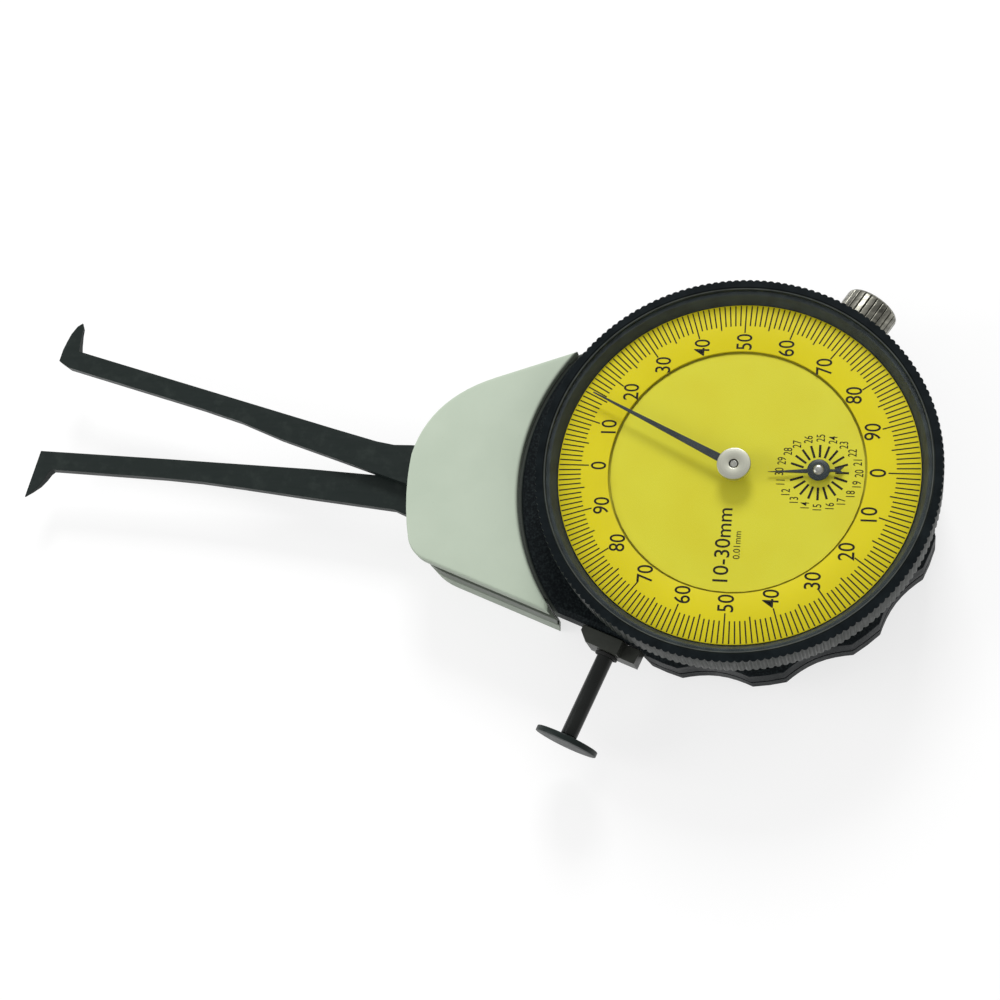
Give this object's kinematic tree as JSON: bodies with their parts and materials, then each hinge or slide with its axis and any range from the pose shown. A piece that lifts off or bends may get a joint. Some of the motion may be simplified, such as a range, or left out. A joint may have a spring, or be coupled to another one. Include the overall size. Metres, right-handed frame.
{
  "type": "inside dial caliper",
  "caption": "Inside caliper with two slim hooked jaws, a round dial with a main pointer and a small counting hand, a turning bezel and a thumb plunger that closes the jaws.",
  "frame": {"origin": "on the pointer axis, in the flat plane of the back", "axes": "+Z along the pointer axis out through the dial, -X towards the jaws along the middle line of the covers, +Y towards the bezel clamp screw's side, away from the plunger"},
  "size_m": [0.1423, 0.0706, 0.0209],
  "materials": {
    "wrinkle_black": "wrinkle paint",
    "satin_black": "satin",
    "pale_grey": "satin",
    "black_steel": "blackened",
    "bright_steel": "turned",
    "yellow_dial": "matt",
    "blue_steel": "blued",
    "brass": "machined",
    "clear": "polished",
    "black_rubber": "matt"
  },
  "bodies": {
    "case": {"case_frame": "wrinkle_black", "rear_case": "wrinkle_black", "front_cover": "pale_grey", "rear_cover": "pale_grey", "fixed_jaw": "black_steel", "lower_plate": "brass", "upper_plate": "brass", "plate_pillar_1": "brass", "plate_pillar_2": "brass", "plate_pillar_3": "brass", "plate_screw_1": "bright_steel", "plate_screw_2": "bright_steel", "plate_screw_3": "bright_steel", "case_screw_1": "black_steel", "case_screw_2": "black_steel", "case_screw_3": "black_steel", "rear_cover_screw_1": "black_steel", "rear_cover_screw_2": "black_steel", "fixed_jaw_screw_1": "black_steel", "fixed_jaw_screw_2": "black_steel", "dial_plate": "yellow_dial", "return_spring": "bright_steel", "spring_anchor": "bright_steel", "hairspring": "blue_steel", "jaw_pivot_pin": "bright_steel", "guide_block": "satin_black", "guide_bushing": "black_steel", "rod_seal": "black_rubber"},
    "bezel_body": {"bezel": "satin_black", "crystal": "clear", "scale_ring": "yellow_dial"},
    "jaw_body": {"moving_jaw": "black_steel", "sector_gear": "brass", "sector_rivet_1": "bright_steel", "sector_rivet_2": "bright_steel"},
    "transfer_body": {"transfer_arbor": "bright_steel", "transfer_wheel": "brass"},
    "pointer_body": {"centre_arbor": "bright_steel", "main_pointer": "blue_steel", "pointer_hub": "bright_steel"},
    "counter_body": {"counter_arbor": "bright_steel", "counter_wheel": "brass", "small_hand": "blue_steel", "small_hand_hub": "bright_steel"},
    "plunger_body": {"plunger_rod": "black_steel", "plunger_head": "black_steel"},
    "clamp_body": {"clamp_screw": "bright_steel"}
  },
  "joints": [
    {"name": "jaw", "type": "hinge", "parent": "case", "child": "jaw_body", "pos_m": [-0.04, 0, 0.00865], "axis": [0, 0, 1], "range_deg": [0, 15.73], "stiffness_Nm_per_rad": 0.02, "springref_deg": -17.19},
    {"name": "plunger", "type": "slide", "parent": "case", "child": "plunger_body", "axis": [0.3387, 0.9409, 0], "range_m": [0, 0.0083]},
    {"name": "transfer", "type": "hinge", "parent": "case", "child": "transfer_body", "pos_m": [-0.0117, 0.00227, 0.004], "axis": [0, 0, 1], "range_deg": [-347, 0]},
    {"name": "pointer", "type": "hinge", "parent": "case", "child": "pointer_body", "pos_m": [0, 0, 0.018], "axis": [0, 0, 1], "range_deg": [0, 3634]},
    {"name": "small_hand_turn", "type": "hinge", "parent": "case", "child": "counter_body", "pos_m": [0.0114, 0, 0.0175], "axis": [0, 0, 1], "range_deg": [-364, 0]},
    {"name": "bezel_turn", "type": "hinge", "parent": "case", "child": "bezel_body", "pos_m": [0, 0, 0.017], "axis": [0, 0, 1], "continuous": true},
    {"name": "clamp_turn", "type": "hinge", "parent": "case", "child": "clamp_body", "pos_m": [0.0162, 0.02643, 0.01], "axis": [0.5225, 0.8526, 0], "range_deg": [0, 180]}
  ],
  "couplings": [
    {"joint": "plunger", "follows": "jaw", "m_per_rad": 0.03023},
    {"joint": "transfer", "follows": "jaw", "ratio": -22},
    {"joint": "pointer", "follows": "jaw", "ratio": 231},
    {"joint": "small_hand_turn", "follows": "jaw", "ratio": -23.1}
  ]
}
